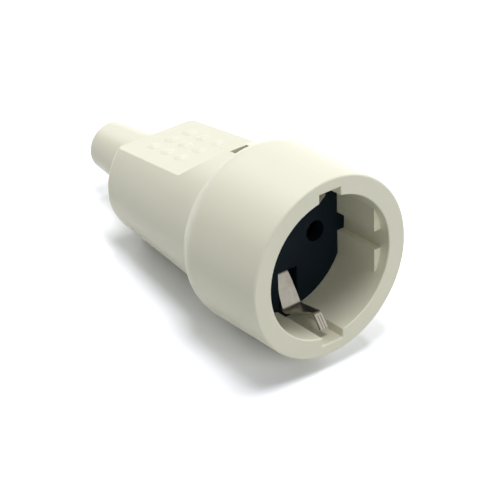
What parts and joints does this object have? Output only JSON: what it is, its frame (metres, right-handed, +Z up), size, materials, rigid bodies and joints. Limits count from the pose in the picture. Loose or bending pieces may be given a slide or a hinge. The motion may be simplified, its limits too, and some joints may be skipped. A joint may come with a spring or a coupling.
{
  "type": "inline socket connector",
  "caption": "Inline cord socket with a round keyed recess, sprung side earth clips, a tapered grip with a dotted finger pad and a cord sleeve.",
  "frame": {"origin": "centre of the bounding box on the surface the part lies on", "axes": "+Z up; +X from the cord sleeve towards the mouth, level, with the socket axis raised 9.8 degrees towards the mouth; +Y completes the right-handed set, across the two pin holes"},
  "size_m": [0.098, 0.0496, 0.0533],
  "materials": {
    "ivory_plastic": "satin moulded",
    "black_plastic": "satin moulded",
    "brass": "turned",
    "nickel_plate": "bright nickel",
    "zinc_steel": "zinc plated"
  },
  "bodies": {
    "root": {"back_screw_lower": "zinc_steel", "back_screw_upper": "zinc_steel", "carrier_back": "black_plastic", "carrier_screw_left": "zinc_steel", "carrier_screw_right": "zinc_steel", "contact_carrier": "black_plastic", "contact_left": "brass", "contact_right": "brass", "contact_spring_left": "zinc_steel", "contact_spring_right": "zinc_steel", "cord_clamp_bar": "black_plastic", "cord_clamp_nut_left": "zinc_steel", "cord_clamp_nut_right": "zinc_steel", "cord_clamp_screw_left": "zinc_steel", "cord_clamp_screw_right": "zinc_steel", "cup_housing": "ivory_plastic", "earth_bar": "nickel_plate", "earth_clip_lower": "nickel_plate", "earth_clip_upper": "nickel_plate", "earth_rivet": "brass", "earth_terminal": "brass", "grip_cover": "ivory_plastic", "terminal_screw_earth": "zinc_steel", "terminal_screw_left": "zinc_steel", "terminal_screw_right": "zinc_steel"}
  },
  "joints": []
}
